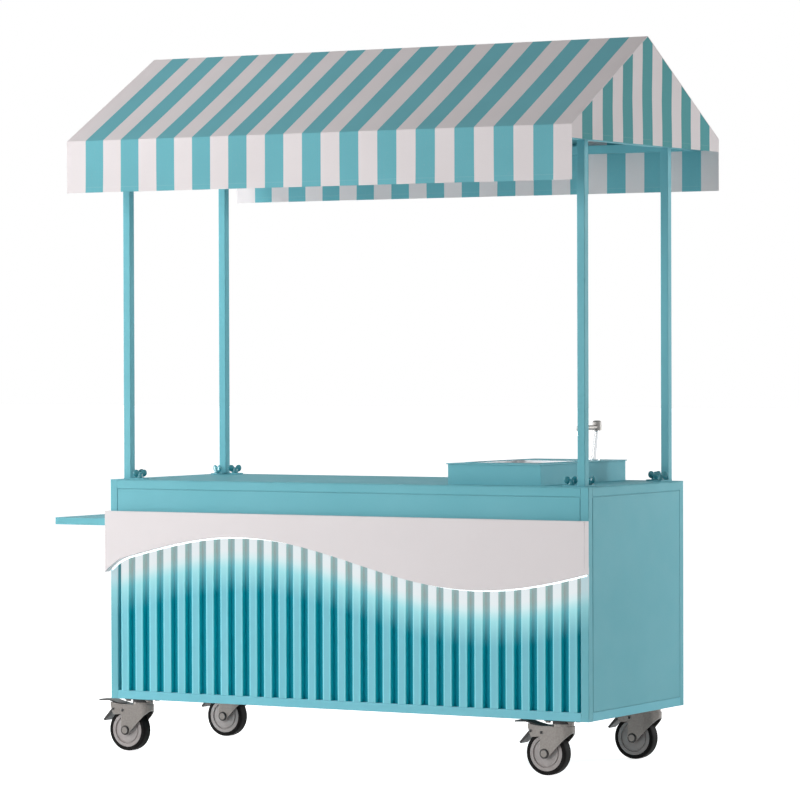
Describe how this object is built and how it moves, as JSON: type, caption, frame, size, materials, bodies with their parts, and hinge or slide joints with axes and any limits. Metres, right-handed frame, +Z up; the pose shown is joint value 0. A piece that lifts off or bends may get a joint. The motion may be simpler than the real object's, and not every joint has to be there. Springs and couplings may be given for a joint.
{
  "type": "food cart",
  "caption": "Street food cart: fluted teal cabinet with a lit wavy fascia on braked swivel casters, side shelf, small sink and a striped gable canopy on posts.",
  "frame": {"origin": "on the floor, at the middle of the cart's whole footprint", "axes": "+X along the counter, to the right of someone facing the serving front; -Y towards the serving front; +Z up"},
  "size_m": [1.837, 0.93, 2.078],
  "materials": {
    "teal_paint": "satin powder coat, pale teal",
    "nut_paint": "satin paint, darker teal",
    "floor_board": "satin paint, teal",
    "white_board": "smooth white board",
    "light_strip": "milky light diffuser, lit",
    "basin_steel": "brushed stainless steel",
    "tap_chrome": "polished chrome",
    "canopy_cloth": "woven awning cloth in white and teal stripes",
    "caster_zinc": "zinc-plated pressed steel",
    "caster_rim": "grey moulded wheel centre",
    "caster_tyre": "dark rubber tread"
  },
  "bodies": {
    "cart": {"cabinet_uprights": "teal_paint", "base_rails": "teal_paint", "top_rails": "teal_paint", "floor_panel": "floor_board", "countertop": "teal_paint", "front_apron": "teal_paint", "fluted_panel": "teal_paint", "side_panels": "teal_paint", "back_panel": "teal_paint", "fascia_batten": "white_board", "fascia_board": "white_board", "light_strip": "light_strip", "side_shelf": "teal_paint", "shelf_cleat": "teal_paint", "sink_surround": "teal_paint", "sink_basin": "basin_steel", "sink_tap": "tap_chrome", "posts": "teal_paint", "post_feet": "teal_paint", "wing_nuts": "nut_paint", "eave_rails": "teal_paint", "eave_cross_bars": "teal_paint", "rafters": "teal_paint", "ridge_tube": "teal_paint", "canopy_cover": "canopy_cloth", "gable_left": "canopy_cloth", "gable_right": "canopy_cloth", "caster_plates": "caster_zinc"},
    "swivel_front_left": {"fork_front_left": "caster_zinc"},
    "roller_front_left": {"wheel_front_left": "caster_rim", "tyre_front_left": "caster_tyre"},
    "brake_front_left": {"pedal_front_left": "caster_zinc"},
    "swivel_front_right": {"fork_front_right": "caster_zinc"},
    "roller_front_right": {"wheel_front_right": "caster_rim", "tyre_front_right": "caster_tyre"},
    "brake_front_right": {"pedal_front_right": "caster_zinc"},
    "swivel_rear_left": {"fork_rear_left": "caster_zinc"},
    "roller_rear_left": {"wheel_rear_left": "caster_rim", "tyre_rear_left": "caster_tyre"},
    "brake_rear_left": {"pedal_rear_left": "caster_zinc"},
    "swivel_rear_right": {"fork_rear_right": "caster_zinc"},
    "roller_rear_right": {"wheel_rear_right": "caster_rim", "tyre_rear_right": "caster_tyre"},
    "brake_rear_right": {"pedal_rear_right": "caster_zinc"}
  },
  "joints": [
    {"name": "front_left_swivel", "type": "hinge", "parent": "cart", "child": "swivel_front_left", "pos_m": [-0.6365, -0.253, 0.14], "axis": [0, 0, 1], "continuous": true},
    {"name": "front_left_roll", "type": "hinge", "parent": "swivel_front_left", "child": "roller_front_left", "pos_m": [-0.6825, -0.253, 0.0625], "axis": [0, 1, 0], "continuous": true},
    {"name": "front_left_brake", "type": "hinge", "parent": "swivel_front_left", "child": "brake_front_left", "pos_m": [-0.7255, -0.253, 0.1245], "axis": [0, -1, 0], "range_deg": [0, 12]},
    {"name": "front_right_swivel", "type": "hinge", "parent": "cart", "child": "swivel_front_right", "pos_m": [0.7765, -0.253, 0.14], "axis": [0, 0, 1], "continuous": true},
    {"name": "front_right_roll", "type": "hinge", "parent": "swivel_front_right", "child": "roller_front_right", "pos_m": [0.7305, -0.253, 0.0625], "axis": [0, 1, 0], "continuous": true},
    {"name": "front_right_brake", "type": "hinge", "parent": "swivel_front_right", "child": "brake_front_right", "pos_m": [0.6875, -0.253, 0.1245], "axis": [0, -1, 0], "range_deg": [0, 12]},
    {"name": "rear_left_swivel", "type": "hinge", "parent": "cart", "child": "swivel_rear_left", "pos_m": [-0.6165, 0.253, 0.14], "axis": [0, 0, 1], "continuous": true},
    {"name": "rear_left_roll", "type": "hinge", "parent": "swivel_rear_left", "child": "roller_rear_left", "pos_m": [-0.6625, 0.253, 0.0625], "axis": [0, 1, 0], "continuous": true},
    {"name": "rear_left_brake", "type": "hinge", "parent": "swivel_rear_left", "child": "brake_rear_left", "pos_m": [-0.7055, 0.253, 0.1245], "axis": [0, -1, 0], "range_deg": [0, 12]},
    {"name": "rear_right_swivel", "type": "hinge", "parent": "cart", "child": "swivel_rear_right", "pos_m": [0.7965, 0.253, 0.14], "axis": [0, 0, 1], "continuous": true},
    {"name": "rear_right_roll", "type": "hinge", "parent": "swivel_rear_right", "child": "roller_rear_right", "pos_m": [0.7505, 0.253, 0.0625], "axis": [0, 1, 0], "continuous": true},
    {"name": "rear_right_brake", "type": "hinge", "parent": "swivel_rear_right", "child": "brake_rear_right", "pos_m": [0.7075, 0.253, 0.1245], "axis": [0, -1, 0], "range_deg": [0, 12]}
  ]
}
